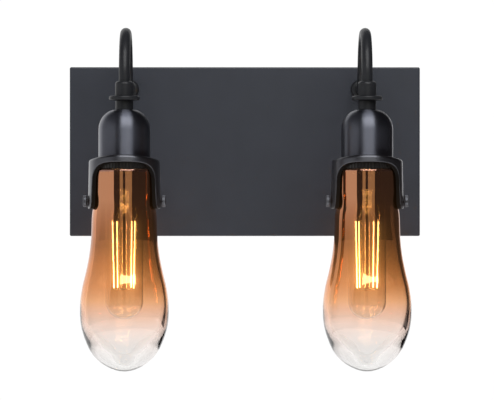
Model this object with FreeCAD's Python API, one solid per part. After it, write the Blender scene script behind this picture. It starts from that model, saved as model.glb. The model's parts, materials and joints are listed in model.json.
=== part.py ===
import FreeCAD, Part
import math
import os

# A two-light wall sconce. A pan-shaped backplate carries two gooseneck arms. Each arm ends in a domed
# socket cup with a cast fork, and two thumbscrews in the fork hold a heavy drop-shaped glass round a bulb.
# Sizes are in millimetres. X runs to the right, Y runs into the wall and Z runs up.
# The origin is the centre of the plate's rear side, where it meets the wall.

Vector = FreeCAD.Vector

# Backplate
plate_width = 316.0
plate_height = 152.4
plate_depth = 22.0
plate_wall = 1.2
plate_rounding = 1.5

# Bracket behind the plate, and what it carries
bracket_thickness = 1.5
bracket_end_gap = 0.6
bracket_margin = 13.3
bracket_rounding = 3.0
ear_width = 24.0
ear_depth = 13.0
slot_spacing = 79.4
slot_length = 24.0
slot_width = 4.4
wire_hole_radius = 11.0
wire_hole_height = 30.0
plate_screw_radius = 2.0
plate_screw_length = 8.0
plate_screw_sink = 0.2
hex_key_radius = 1.15
hex_key_depth = 2.5
ground_screw_radius = 2.4
ground_head_radius = 4.8
ground_head_height = 2.6
ground_slot_width = 1.0
connector_spacing = 30.0
connector_drop = 3.0
connector_length = 22.0
connector_mouth_radius = 5.5
connector_tip_radius = 3.4
connector_wall = 1.2

# Arms
lamp_spacing = 208.4
tube_diameter = 9.525
tube_wall = 1.0
loop_radius = 38.1
loop_rise = 7.25
root_height = 56.3
root_bend_radius = 25.0
root_straight = 22.35
root_tail = 6.0
boss_radius = 8.75
boss_height = 6.0
boss_rounding = 3.5
washer_radius = 8.0
washer_thickness = 1.0
nut_across_flats = 14.0
nut_thickness = 3.0
lead_radius = 1.6
lead_bend_share = 0.85
lead_turn_radius = 12.0

# Turned pieces between the arm and the cup
straight_leg = 5.25
collar_radius = 7.9
collar_height = 12.7
collar_shoulder = 2.6
collar_edge = 0.5
disc_radius = 13.2
disc_thickness = 3.7
disc_rounding = 1.4
tube_foot_lift = 0.3
neck_radius = 7.6
neck_height = 8.15
nipple_radius = 4.9
nipple_bore = 3.4
nipple_engagement = 4.0

# Bulb
bulb_base_radius = 13.1
bulb_base_height = 22.0
bulb_base_wall = 0.6
thread_pitch = 3.629
thread_depth = 0.75
thread_rise_share = 0.25
rim_drop = 4.45
insulator_height = 2.7
insulator_tip_radius = 5.2
contact_radius = 4.6
contact_height = 1.0
contact_rounding = 0.6
bulb_radius = 16.3
bulb_glass_length = 126.0
bulb_glass_wall = 0.8
bulb_neck_radius = 12.9
bulb_neck_length = 11.0
bulb_neck_lip = 2.0
bulb_lip_drop = 0.5
bulb_shoulder = 5.0
stem_press_radius = 4.0
stem_press_drop = 32.0
stem_flare_length = 12.0
stem_rod_radius = 2.2
stem_rod_length = 68.0
filament_radius = 0.95
filament_length = 59.6
filament_drop = 39.2
filament_top_spread = 10.9
filament_foot_spread = 9.7
filament_bearings = (207.0, 326.0, 129.0, 55.0)
wire_radius = 0.25
wire_ring_lift = 1.2

# Socket
shell_wall = 0.5
shell_height = 20.0
socket_wall = 5.1
socket_cap = 8.0
spring_disc_radius = 5.0
spring_disc_thickness = 0.6
spring_tongue_radius = 2.5
spring_tongue_height = 1.1
cup_room = 1.7
cup_wall = 1.5
cup_height = 41.75
cup_shoulder_width = 14.6
cup_shoulder_height = 17.5
cup_lip_rounding = 0.4

# Fork and its clamping ring
ring_width = 6.2
ring_height = 7.2
ring_tooth_count = 56
ring_tooth_depth = 0.65
ring_land_share = 0.55
ring_rounding = 0.8
ring_room = 2.2
yoke_wall = 2.75
yoke_flare = 0.9
yoke_inner_flare = 0.3
yoke_web = 1.8
yoke_crown_height = 3.05
yoke_crown_radius = 104.0
yoke_shoulder = 2.6
window_drop = 1.45
window_rounding = 16.0
arm_top_half_width = 15.3
arm_end_half_width = 13.0
arm_end_drop = 6.55
arm_end_rounding = 4.5
arm_edge_rounding = 0.9

# Thumbscrews
screw_drop = 27.25
screw_radius = 2.0
screw_head_radius = 5.0
screw_head_thickness = 3.5
screw_head_standoff = 0.8
screw_head_rounding = 0.9
screw_flute_count = 32
screw_flute_depth = 0.22
screw_land_share = 0.5
pad_radius = 1.8
pad_thickness = 0.6
pad_stem_radius = 1.0
pad_stem_length = 2.6

# Glass
glass_top_gap = 0.35
glass_neck_gap = 0.6
glass_length = 173.45
glass_belly_radius = 38.1
glass_wall = 3.3
glass_belly_wall = 3.5
glass_base_thickness = 7.75
glass_rim_rounding = 1.1
groove_radius = 1.6
groove_depth = 0.55
# Outer side: how far down the glass, and how far from the neck's radius out to the belly's
neck_to_belly_shares = ((0.225, 0.072), (0.349, 0.153), (0.428, 0.298), (0.508, 0.548), (0.587, 0.836))
belly_down_share = 0.683
# Outer side: how far down the glass, and the radius over the belly's
belly_to_foot_shares = ((0.765, 0.979), (0.844, 0.880), (0.923, 0.686), (0.966, 0.460))
# Inner side, in the same two ways
inner_to_belly_shares = ((0.365, 0.155), (0.448, 0.300), (0.531, 0.550), (0.614, 0.845))
inner_belly_down_share = 0.700
inner_to_foot_shares = ((0.768, 0.972), (0.830, 0.893), (0.887, 0.748), (0.950, 0.480))

# Clearances
seat_gap = 0.05
running_gap = 0.08
thread_gap = 0.3
contact_gap = 0.1
yoke_hole_gap = 0.4
pad_gap = 0.3
overrun = 1.0
tolerance = 1e-6

# Heights and places worked out from the sizes above
tube_radius = tube_diameter / 2
plate_inner_height = plate_height - 2 * plate_wall
plate_front = -plate_depth
plate_inside = plate_front + plate_wall
bracket_front = -bracket_thickness
bracket_height = plate_inner_height - 2 * bracket_end_gap
bracket_width = slot_spacing + slot_length + 2 * bracket_margin
ear_middle = (bracket_front - ear_depth) / 2
pan_middle = (plate_inside + bracket_front) / 2
wire_end_height = wire_hole_height - wire_hole_radius - connector_drop
loop_height = root_height + loop_rise
bend_height = root_height + root_bend_radius
centre_distance = loop_radius + root_bend_radius
bend_reach = loop_radius + math.sqrt(centre_distance**2 - (bend_height - loop_height)**2)
lamp_reach = bend_reach + root_straight
lamp_y = plate_front - lamp_reach
tube_end = lamp_reach + root_tail
collar_top = loop_height - straight_leg
disc_top = collar_top - collar_height
neck_top = disc_top - disc_thickness
cup_top = neck_top - neck_height
cup_bottom = cup_top - cup_height
web_bottom = cup_bottom - yoke_web
ring_bottom = web_bottom - seat_gap - ring_height
glass_top = ring_bottom - glass_top_gap
glass_bottom = glass_top - glass_length
screw_height = glass_top - screw_drop
arm_end = screw_height - arm_end_drop
yoke_crown = cup_bottom + yoke_crown_height
window_top = web_bottom - window_drop

bulb_rim = ring_bottom - rim_drop
base_top = bulb_rim + bulb_base_height
insulator_top = base_top + insulator_height
contact_top = insulator_top + contact_height
spring_bottom = contact_top + contact_gap
spring_top = spring_bottom + spring_tongue_height + spring_disc_thickness
socket_top = spring_top + socket_cap
bulb_bottom = bulb_rim - bulb_glass_length
press_bottom = bulb_rim - stem_press_drop
rod_bottom = press_bottom - stem_rod_length
filament_top = bulb_rim - filament_drop
filament_bottom = filament_top - filament_length

shell_inner_radius = bulb_base_radius + thread_gap
shell_outer_radius = shell_inner_radius + shell_wall
socket_bore = shell_outer_radius + seat_gap
socket_radius = socket_bore + socket_wall
cup_radius = socket_radius + cup_room + cup_wall
ring_bore = socket_radius + running_gap
ring_radius = ring_bore + ring_width
yoke_inner_radius = ring_radius + ring_room
yoke_radius = yoke_inner_radius + yoke_wall
glass_neck_radius = yoke_inner_radius - glass_neck_gap
arm_outer_radius = yoke_radius + yoke_flare
pad_face = glass_neck_radius + pad_gap
pad_back = pad_face + pad_thickness
head_inner = arm_outer_radius + screw_head_standoff
head_outer = head_inner + screw_head_thickness


def flat_point(across, height):
    """A point in the upright plane through the axis."""
    return Vector(across, 0, height)


def rounded_edges(corners):
    """Closed run of lines through (across, height, rounding) corners, with a tangent arc where rounded."""
    entries = []
    exits = []
    arcs = []
    count = len(corners)
    for index, (across, height, rounding) in enumerate(corners):
        here = flat_point(across, height)
        to_before = (flat_point(*corners[index - 1][:2]) - here).normalize()
        to_after = (flat_point(*corners[(index + 1) % count][:2]) - here).normalize()
        half_angle = to_before.getAngle(to_after) / 2
        run = rounding / math.tan(half_angle)
        entry = here + to_before * run
        leave = here + to_after * run
        if rounding > 0:
            inward = (to_before + to_after).normalize()
            middle = here + inward * (rounding / math.sin(half_angle) - rounding)
            arcs.append(Part.Arc(entry, middle, leave).toShape())
        else:
            arcs.append(None)
        entries.append(entry)
        exits.append(leave)
    edges = []
    for index in range(count):
        if arcs[index]:
            edges.append(arcs[index])
        following = entries[(index + 1) % count]
        if exits[index].distanceToPoint(following) > tolerance:
            edges.append(Part.makeLine(exits[index], following))
    return edges


def turned_edges(edges):
    """Solid that a closed run of edges sweeps when turned once about the Z axis."""
    face = Part.Face(Part.Wire(edges))
    return face.revolve(Vector(0, 0, 0), Vector(0, 0, 1), 360)


def turned(corners):
    """Solid of revolution from (radius, height, rounding) corners."""
    return turned_edges(rounded_edges(corners))


def sleeve(inner, outer, bottom, top, outer_rounding=0.0):
    """Plain turned ring, rounded on its outer edges."""
    return turned([
        (inner, bottom, 0),
        (outer, bottom, outer_rounding),
        (outer, top, outer_rounding),
        (inner, top, 0),
    ])


def disc(radius, bottom, top):
    """Upright cylinder on the Z axis."""
    return Part.makeCylinder(radius, top - bottom, Vector(0, 0, bottom))


def rod(radius, start, end):
    """Cylinder from one point to another."""
    along = end - start
    return Part.makeCylinder(radius, along.Length, start, along)


def quarter_curve(start, corner, end):
    """Quarter of an ellipse from start to end, tangent to the lines that meet at corner."""
    curve = Part.BezierCurve()
    curve.setPoles([start, corner, end])
    curve.setWeight(2, math.sqrt(0.5))
    return curve.toShape()


def smooth_curve(points, start_direction, end_direction):
    """Smooth curve through points, with set directions at its ends."""
    curve = Part.BSplineCurve()
    curve.interpolate(Points=points, InitialTangent=start_direction, FinalTangent=end_direction)
    return curve.toShape()


def straight_run(points):
    """Lines from each point to the next."""
    return [Part.makeLine(start, end) for start, end in zip(points, points[1:])]


def swept_rod(path, radius):
    """Round rod along a path of edges."""
    first = path[0]
    start = first.valueAt(first.FirstParameter)
    direction = first.tangentAt(first.FirstParameter)
    ring = Part.Wire(Part.makeCircle(radius, start, direction))
    return Part.Wire(path).makePipeShell([ring], True, False)


def hexagon(across_flats, thickness):
    """Hexagonal prism on the Z axis, standing on the XY plane."""
    corner_radius = across_flats / math.sqrt(3)
    corners = []
    for turn in range(6):
        angle = math.radians(60 * turn)
        corners.append(Vector(corner_radius * math.cos(angle), corner_radius * math.sin(angle), 0))
    outline = Part.Face(Part.makePolygon(corners + corners[:1]))
    return outline.extrude(Vector(0, 0, thickness))


def fluted_disc(radius, flute_depth, count, land_share, bottom, top):
    """Upright disc with round flutes cut along its rim."""
    pitch = 2 * math.pi / count

    def rim_point(angle, distance):
        return Vector(distance * math.cos(angle), distance * math.sin(angle), bottom)

    edges = []
    for turn in range(count):
        start = pitch * turn
        land_end = start + pitch * land_share
        end = start + pitch
        land_middle = (start + land_end) / 2
        flute_middle = (land_end + end) / 2
        edges.append(Part.Arc(
            rim_point(start, radius), rim_point(land_middle, radius), rim_point(land_end, radius)).toShape())
        edges.append(Part.Arc(
            rim_point(land_end, radius),
            rim_point(flute_middle, radius - flute_depth),
            rim_point(end, radius)).toShape())
    return Part.Face(Part.Wire(edges)).extrude(Vector(0, 0, top - bottom))


def along_y(shape, x, y, z):
    """Turns a piece built along +Z to run along +Y, and puts its origin at a place."""
    placed = shape.copy()
    placed.rotate(Vector(0, 0, 0), Vector(1, 0, 0), -90)
    placed.translate(Vector(x, y, z))
    return placed


def sideways(shape, side):
    """Turns a piece built along +Z to run out along +X or -X at the thumbscrews' height."""
    placed = shape.copy()
    placed.rotate(Vector(0, 0, 0), Vector(0, 1, 0), 90 * side)
    placed.translate(Vector(0, 0, screw_height))
    return placed


def back_plate():
    """Shallow pan, open at the wall, with a hole for each arm and one for each edge screw."""
    outer = Part.makeBox(
        plate_width, plate_depth, plate_height, Vector(-plate_width / 2, plate_front, -plate_height / 2))
    front_edges = [edge for edge in outer.Edges if edge.BoundBox.YMin < -tolerance]
    outer = outer.makeFillet(plate_rounding, front_edges)
    inner_width = plate_width - 2 * plate_wall
    inside = Part.makeBox(
        inner_width, plate_depth, plate_inner_height,
        Vector(-inner_width / 2, plate_inside, -plate_inner_height / 2))
    pan = outer.cut(inside)
    for side in (-1, 1):
        hole = Part.makeCylinder(tube_radius + seat_gap, plate_depth)
        pan = pan.cut(along_y(hole, side * lamp_spacing / 2, plate_front - overrun, root_height))
    edge_hole = disc(plate_screw_radius + seat_gap, -plate_height, plate_height)
    return pan.cut(edge_hole.translated(Vector(0, ear_middle, 0)))


def slot_cutter():
    """Upright-sided slot across the bracket, at the origin."""
    half_run = (slot_length - slot_width) / 2
    middle = Part.makeBox(
        2 * half_run, bracket_thickness + 2 * overrun, slot_width,
        Vector(-half_run, bracket_front - overrun, -slot_width / 2))
    cutter = middle
    for side in (-1, 1):
        end = Part.makeCylinder(slot_width / 2, bracket_thickness + 2 * overrun)
        cutter = cutter.fuse(along_y(end, side * half_run, bracket_front - overrun, 0))
    return cutter


def mounting_bracket():
    """Stamped strap with slots for the outlet box, a wire hole and two ears that take the edge screws."""
    half_width = bracket_width / 2
    half_height = bracket_height / 2
    strap_edges = rounded_edges([
        (-half_width, -half_height, bracket_rounding),
        (half_width, -half_height, bracket_rounding),
        (half_width, half_height, bracket_rounding),
        (-half_width, half_height, bracket_rounding),
    ])
    strap = Part.Face(Part.Wire(strap_edges)).extrude(Vector(0, bracket_front, 0))
    for side in (-1, 1):
        ear_low = half_height - bracket_thickness if side > 0 else -half_height
        ear = Part.makeBox(
            ear_width, ear_depth, bracket_thickness, Vector(-ear_width / 2, -ear_depth, ear_low))
        strap = strap.fuse(ear)
        slot = slot_cutter().translated(Vector(side * slot_spacing / 2, 0, 0))
        strap = strap.cut(slot)
    wire_hole = Part.makeCylinder(wire_hole_radius, bracket_thickness + 2 * overrun)
    strap = strap.cut(along_y(wire_hole, 0, bracket_front - overrun, wire_hole_height))
    ground_hole = Part.makeCylinder(ground_screw_radius + seat_gap, bracket_thickness + 2 * overrun)
    strap = strap.cut(along_y(ground_hole, -slot_spacing / 2, bracket_front - overrun, -wire_hole_height))
    edge_hole = disc(plate_screw_radius + seat_gap, -plate_height, plate_height)
    return strap.cut(edge_hole.translated(Vector(0, ear_middle, 0))).removeSplitter()


def plate_screws():
    """Two headless screws that run through the pan's edges into the bracket's ears."""
    screws = []
    outer_end = plate_height / 2 - plate_screw_sink
    shank = disc(plate_screw_radius, outer_end - plate_screw_length, outer_end)
    key_hole = hexagon(2 * hex_key_radius, hex_key_depth + overrun)
    screw = shank.cut(key_hole.translated(Vector(0, 0, outer_end - hex_key_depth)))
    for angle in (0, 180):
        placed = screw.copy()
        placed.rotate(Vector(0, 0, 0), Vector(0, 1, 0), angle)
        placed.translate(Vector(0, ear_middle, 0))
        screws.append(placed)
    return Part.makeCompound(screws)


def ground_screw():
    """Slotted earth screw in the bracket."""
    head = turned([
        (0, 0, 0),
        (ground_screw_radius, 0, 0),
        (ground_screw_radius, bracket_thickness, 0),
        (ground_head_radius, bracket_thickness, 0),
        (ground_head_radius, bracket_thickness + ground_head_height, ground_slot_width),
        (0, bracket_thickness + ground_head_height, 0),
    ])
    slot = Part.makeBox(
        2 * ground_head_radius, ground_slot_width, ground_head_height,
        Vector(-ground_head_radius, -ground_slot_width / 2, bracket_thickness + ground_head_height / 2))
    screw = head.cut(slot)
    screw.rotate(Vector(0, 0, 0), Vector(1, 0, 0), 90)
    screw.translate(Vector(-slot_spacing / 2, 0, -wire_hole_height))
    return screw


def wire_connectors():
    """Two twist-on connectors that hang on the ends of the leads."""
    foot = wire_end_height - connector_length
    shell = turned([
        (0, foot, 0),
        (connector_tip_radius, foot, connector_wall),
        (connector_mouth_radius, wire_end_height - connector_wall, 0),
        (connector_mouth_radius, wire_end_height, 0),
        (lead_radius + seat_gap, wire_end_height, 0),
        (lead_radius + seat_gap, foot + connector_length / 2, 0),
        (0, foot + connector_length / 2, 0),
    ])
    pair = [
        shell.translated(Vector(side * connector_spacing / 2, pan_middle, 0)) for side in (-1, 1)
    ]
    return Part.makeCompound(pair)


def arm_path(foot, tail):
    """Centre line of the arm, from a height on the lamp's axis over the loop to a place in the pan."""
    lean = math.atan2(bend_height - loop_height, bend_reach - loop_radius)
    middle_angle = (math.pi + lean) / 2

    def on_loop(angle):
        return Vector(
            0, loop_radius + loop_radius * math.cos(angle), loop_height + loop_radius * math.sin(angle))

    def on_bend(angle):
        return Vector(
            0,
            bend_reach + root_bend_radius * math.cos(angle),
            bend_height + root_bend_radius * math.sin(angle))

    bend_start = lean + math.pi
    bend_end = 3 * math.pi / 2
    bend_middle = (bend_start + bend_end) / 2
    return [
        Part.makeLine(Vector(0, 0, foot), Vector(0, 0, loop_height)),
        Part.Arc(on_loop(math.pi), on_loop(middle_angle), on_loop(lean)).toShape(),
        Part.Arc(on_bend(bend_start), on_bend(bend_middle), on_bend(bend_end)).toShape(),
        Part.makeLine(on_bend(bend_end), Vector(0, tail, root_height)),
    ]


def arm_tube():
    """Gooseneck tube from the collar over to the pan."""
    path = arm_path(neck_top + tube_foot_lift, tube_end)
    return swept_rod(path, tube_radius).cut(swept_rod(path, tube_radius - tube_wall))


def lamp_lead(side):
    """Lead from the socket's centre through the arm and across the pan to its connector."""
    bend = (pan_middle - (lamp_y + tube_end)) * lead_bend_share
    tail = pan_middle - bend - lamp_y
    toward_middle = -side
    middle_y = tail + bend
    run_end = toward_middle * (lamp_spacing - connector_spacing) / 2
    turn = lead_turn_radius
    slant = math.sqrt(0.5)
    entry = Vector(0, tail, root_height)
    leave = Vector(toward_middle * bend, middle_y, root_height)
    first_middle = Vector(toward_middle * bend * (1 - slant), tail + bend * slant, root_height)
    turn_start = Vector(run_end - toward_middle * turn, middle_y, root_height)
    turn_end = Vector(run_end, middle_y, root_height - turn)
    turn_middle = Vector(
        run_end - toward_middle * turn * (1 - slant), middle_y, root_height - turn * (1 - slant))
    path = arm_path(spring_top, tail) + [
        Part.Arc(entry, first_middle, leave).toShape(),
        Part.makeLine(leave, turn_start),
        Part.Arc(turn_start, turn_middle, turn_end).toShape(),
        Part.makeLine(turn_end, Vector(run_end, middle_y, wire_end_height - connector_length / 2)),
    ]
    return swept_rod(path, lead_radius)


def arm_boss():
    """Round boss on the plate's front at the arm's root."""
    boss = turned([
        (tube_radius + seat_gap, 0, 0),
        (boss_radius, 0, 0),
        (boss_radius, boss_height, boss_rounding),
        (tube_radius + seat_gap, boss_height, 0),
    ])
    boss.rotate(Vector(0, 0, 0), Vector(1, 0, 0), 90)
    boss.translate(Vector(0, lamp_reach, root_height))
    return boss


def arm_washer():
    """Washer behind the plate."""
    ring = sleeve(tube_radius + seat_gap, washer_radius, 0, washer_thickness)
    return along_y(ring, 0, lamp_reach + plate_wall, root_height)


def arm_nut():
    """Lock nut on the arm's threaded end."""
    nut = hexagon(nut_across_flats, nut_thickness)
    nut = nut.cut(disc(tube_radius + seat_gap, -overrun, nut_thickness + overrun))
    return along_y(nut, 0, lamp_reach + plate_wall + washer_thickness, root_height)


def arm_collar():
    """Collar that caps the arm's end, with a rounded shoulder."""
    bore = tube_radius + seat_gap
    return turned([
        (bore, disc_top, 0),
        (collar_radius, disc_top, collar_edge),
        (collar_radius, collar_top, collar_shoulder),
        (bore, collar_top, 0),
    ])


def collar_disc():
    """Thin wide disc under the collar."""
    return sleeve(tube_radius + seat_gap, disc_radius, neck_top, disc_top, disc_rounding)


def neck():
    """Short neck between the disc and the cup."""
    return sleeve(nipple_radius + seat_gap, neck_radius, cup_top, neck_top, collar_edge)


def socket_nipple():
    """Threaded tube that ties the neck, the cup and the socket together."""
    return sleeve(nipple_bore, nipple_radius, socket_top - nipple_engagement, neck_top)


def cup_outline(radius, top, shoulder_width, shoulder_height):
    """Curved shoulder and the points where it meets the flat top and the straight side."""
    side_point = flat_point(radius, top - shoulder_height)
    corner = flat_point(radius, top)
    top_point = flat_point(radius - shoulder_width, top)
    return side_point, top_point, quarter_curve(top_point, corner, side_point)


def socket_cup():
    """Domed cup over the socket."""
    hole = nipple_radius + seat_gap
    inner_radius = cup_radius - cup_wall
    outer_side, outer_top, outer_curve = cup_outline(
        cup_radius, cup_top, cup_shoulder_width, cup_shoulder_height)
    inner_side, inner_top, inner_curve = cup_outline(
        inner_radius, cup_top - cup_wall, cup_shoulder_width - cup_wall, cup_shoulder_height - cup_wall)
    edges = [outer_curve, inner_curve]
    edges += straight_run([
        outer_side,
        flat_point(cup_radius, cup_bottom),
        flat_point(inner_radius, cup_bottom),
        inner_side,
    ])
    edges += straight_run([
        inner_top,
        flat_point(hole, cup_top - cup_wall),
        flat_point(hole, cup_top),
        outer_top,
    ])
    return turned_edges(Part.__sortEdges__(edges))


def socket_body():
    """Insulating body that holds the screw shell and carries the clamping ring on its outer thread."""
    lead_hole = lead_radius + seat_gap
    nipple_hole = nipple_radius + seat_gap
    nipple_end = socket_top - nipple_engagement
    return turned([
        (socket_bore, ring_bottom, 0),
        (socket_radius, ring_bottom, cup_lip_rounding),
        (socket_radius, socket_top, cup_lip_rounding),
        (nipple_hole, socket_top, 0),
        (nipple_hole, nipple_end, 0),
        (lead_hole, nipple_end, 0),
        (lead_hole, spring_top, 0),
        (socket_bore, spring_top, 0),
    ])


def screw_shell():
    """Brass shell that takes the bulb's base."""
    return sleeve(shell_inner_radius, shell_outer_radius, spring_bottom - shell_height, spring_bottom)


def centre_contact():
    """Sprung contact at the bottom of the socket."""
    disc_bottom = spring_top - spring_disc_thickness
    return turned([
        (0, spring_bottom, 0),
        (spring_tongue_radius, spring_bottom, 0),
        (spring_tongue_radius, disc_bottom, 0),
        (spring_disc_radius, disc_bottom, 0),
        (spring_disc_radius, spring_top, 0),
        (0, spring_top, 0),
    ])


def window_edges(fork):
    """Outer edges of the fork's two windows and of its arms' ends."""
    chosen = []
    for edge in fork.Edges:
        middle = edge.valueAt((edge.FirstParameter + edge.LastParameter) / 2)
        outside = math.hypot(middle.x, middle.y) > yoke_radius - yoke_wall / 3
        box = edge.BoundBox
        if outside and box.ZMax < window_top + tolerance and box.YLength > tolerance:
            chosen.append(edge)
    return chosen


def yoke():
    """Cast fork: a crowned cap nested round the cup's foot, with two tapering arms for the screws."""
    height = yoke_crown + overrun - arm_end
    blank = Part.makeCone(arm_outer_radius, yoke_radius, height, Vector(0, 0, arm_end))
    crown = Part.makeCylinder(
        yoke_crown_radius, 4 * yoke_radius,
        Vector(0, -2 * yoke_radius, yoke_crown - yoke_crown_radius), Vector(0, 1, 0))
    crown.rotate(Vector(0, 0, yoke_crown - yoke_crown_radius), Vector(0, 1, 0), 180)
    blank = blank.common(crown)
    shoulder_edges = [edge for edge in blank.Edges if edge.BoundBox.ZMin > window_top]
    blank = blank.makeFillet(yoke_shoulder, shoulder_edges)
    lower_inner = yoke_inner_radius + yoke_inner_flare
    inside = Part.makeCone(lower_inner, yoke_inner_radius, web_bottom - arm_end, Vector(0, 0, arm_end))
    reach = 2 * yoke_radius
    silhouette_edges = rounded_edges([
        (-reach, yoke_crown + overrun, 0),
        (reach, yoke_crown + overrun, 0),
        (reach, window_top, 0),
        (arm_top_half_width, window_top, window_rounding),
        (arm_end_half_width, arm_end, arm_end_rounding),
        (-arm_end_half_width, arm_end, arm_end_rounding),
        (-arm_top_half_width, window_top, window_rounding),
        (-reach, window_top, 0),
    ])
    silhouette = Part.Face(Part.Wire(silhouette_edges)).extrude(Vector(0, 2 * reach, 0))
    silhouette.translate(Vector(0, -reach, 0))
    silhouette.rotate(Vector(0, 0, 0), Vector(0, 0, 1), 90)
    fork = blank.common(silhouette).cut(inside)
    fork = fork.makeFillet(arm_edge_rounding, window_edges(fork))
    fork = fork.cut(disc(cup_radius + seat_gap, cup_bottom, yoke_crown + overrun))
    fork = fork.cut(disc(socket_radius + yoke_hole_gap, web_bottom - overrun, yoke_crown + overrun))
    screw_hole = disc(screw_radius + running_gap, -arm_outer_radius - overrun, arm_outer_radius + overrun)
    return fork.cut(sideways(screw_hole, 1))


def shade_ring():
    """Serrated ring that clamps the fork against the cup."""
    ring_top = web_bottom - seat_gap
    teeth = fluted_disc(
        ring_radius, ring_tooth_depth, ring_tooth_count, ring_land_share, ring_bottom, ring_top)
    form = sleeve(ring_bore, ring_radius + overrun, ring_bottom, ring_top, ring_rounding + overrun)
    return teeth.common(form)


def thumbscrew(side):
    """Fluted thumbscrew with a blind hole in its nose for the pad's stem."""
    head = fluted_disc(
        screw_head_radius, screw_flute_depth, screw_flute_count, screw_land_share, head_inner, head_outer)
    form = sleeve(0, screw_head_radius, head_inner, head_outer, screw_head_rounding)
    shank = disc(screw_radius, pad_back + contact_gap, head_inner)
    stem_hole = disc(
        pad_stem_radius + running_gap, pad_back, pad_back + pad_stem_length + contact_gap)
    return sideways(head.common(form).fuse(shank).cut(stem_hole), side)


def screw_pad(side):
    """Soft pad that faces the glass, on a stem in the screw's nose."""
    face = disc(pad_radius, pad_face, pad_back)
    stem = disc(pad_stem_radius, pad_back, pad_back + pad_stem_length)
    return sideways(face.fuse(stem), side)


def glass_point(radius, down_share, length):
    """A point of the glass, by how far down its length it lies."""
    return flat_point(radius, glass_top - length * down_share)


def glass_side(neck_radius_here, belly_radius, length, start_drop, upper_shares, belly_share, lower_shares):
    """Curve down one side of the glass, from its neck over the belly to the axis."""
    swell = belly_radius - neck_radius_here
    points = [flat_point(neck_radius_here, glass_top - start_drop)]
    for down_share, swell_share in upper_shares:
        points.append(glass_point(neck_radius_here + swell * swell_share, down_share, length))
    points.append(glass_point(belly_radius, belly_share, length))
    for down_share, radius_share in lower_shares:
        points.append(glass_point(belly_radius * radius_share, down_share, length))
    points.append(glass_point(0, 1, length))
    return smooth_curve(points, Vector(0, 0, -1), Vector(-1, 0, 0))


def glass_shade():
    """Heavy drop-shaped glass with a thick foot and a shallow groove for the screws."""
    inner_neck = glass_neck_radius - glass_wall
    outer_start = screw_drop + groove_radius
    outer = glass_side(
        glass_neck_radius, glass_belly_radius, glass_length, outer_start,
        neck_to_belly_shares, belly_down_share, belly_to_foot_shares)
    inner_length = glass_length - glass_base_thickness
    inner = glass_side(
        inner_neck, glass_belly_radius - glass_belly_wall, inner_length, outer_start,
        inner_to_belly_shares, inner_belly_down_share, inner_to_foot_shares)
    edges = [outer, inner]
    edges += straight_run([
        flat_point(glass_neck_radius, glass_top - outer_start),
        flat_point(glass_neck_radius, glass_top - glass_rim_rounding),
    ])
    edges += straight_run([
        flat_point(inner_neck, glass_top - glass_rim_rounding),
        flat_point(inner_neck, glass_top - outer_start),
    ])
    edges += straight_run([
        flat_point(glass_neck_radius - glass_rim_rounding, glass_top),
        flat_point(inner_neck + glass_rim_rounding, glass_top),
    ])
    edges += [
        quarter_curve(
            flat_point(glass_neck_radius, glass_top - glass_rim_rounding),
            flat_point(glass_neck_radius, glass_top),
            flat_point(glass_neck_radius - glass_rim_rounding, glass_top)),
        quarter_curve(
            flat_point(inner_neck, glass_top - glass_rim_rounding),
            flat_point(inner_neck, glass_top),
            flat_point(inner_neck + glass_rim_rounding, glass_top)),
        Part.makeLine(flat_point(0, glass_bottom), flat_point(0, glass_bottom + glass_base_thickness)),
    ]
    glass = turned_edges(Part.__sortEdges__(edges))
    groove = Part.makeTorus(
        glass_neck_radius + groove_radius - groove_depth, groove_radius, Vector(0, 0, screw_height))
    return glass.cut(groove)


def bulb_side(neck_tip, neck_radius_here, radius, shoulder_top, bottom):
    """Side of the bulb's envelope, from the lip of its neck to the axis."""
    lip_bottom = bulb_rim - bulb_lip_drop
    shoulder_bottom = shoulder_top - bulb_shoulder
    shoulder_middle = (shoulder_top + shoulder_bottom) / 2
    middle_radius = (neck_radius_here + radius) / 2
    edges = straight_run([
        flat_point(neck_tip, bulb_rim + bulb_neck_lip),
        flat_point(neck_tip, lip_bottom),
        flat_point(neck_radius_here, lip_bottom - bulb_neck_lip),
        flat_point(neck_radius_here, shoulder_top),
    ])
    edges.append(quarter_curve(
        flat_point(neck_radius_here, shoulder_top),
        flat_point(neck_radius_here, shoulder_middle),
        flat_point(middle_radius, shoulder_middle)))
    edges.append(quarter_curve(
        flat_point(middle_radius, shoulder_middle),
        flat_point(radius, shoulder_middle),
        flat_point(radius, shoulder_bottom)))
    edges += straight_run([
        flat_point(radius, shoulder_bottom),
        flat_point(radius, bottom + radius),
    ])
    edges.append(quarter_curve(
        flat_point(radius, bottom + radius), flat_point(radius, bottom), flat_point(0, bottom)))
    return edges


def bulb_glass():
    """Tubular envelope, open only at the neck, where the stem closes it."""
    lip_outer = bulb_base_radius - thread_depth - bulb_base_wall - seat_gap
    lip_inner = lip_outer - bulb_glass_wall
    shoulder_top = bulb_rim - bulb_neck_length
    edges = bulb_side(lip_outer, bulb_neck_radius, bulb_radius, shoulder_top, bulb_bottom)
    edges += bulb_side(
        lip_inner, bulb_neck_radius - bulb_glass_wall, bulb_radius - bulb_glass_wall,
        shoulder_top, bulb_bottom + bulb_glass_wall)
    lip_top = bulb_rim + bulb_neck_lip
    edges.append(Part.makeLine(flat_point(lip_outer, lip_top), flat_point(lip_inner, lip_top)))
    edges.append(Part.makeLine(flat_point(0, bulb_bottom), flat_point(0, bulb_bottom + bulb_glass_wall)))
    return turned_edges(Part.__sortEdges__(edges))


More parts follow.
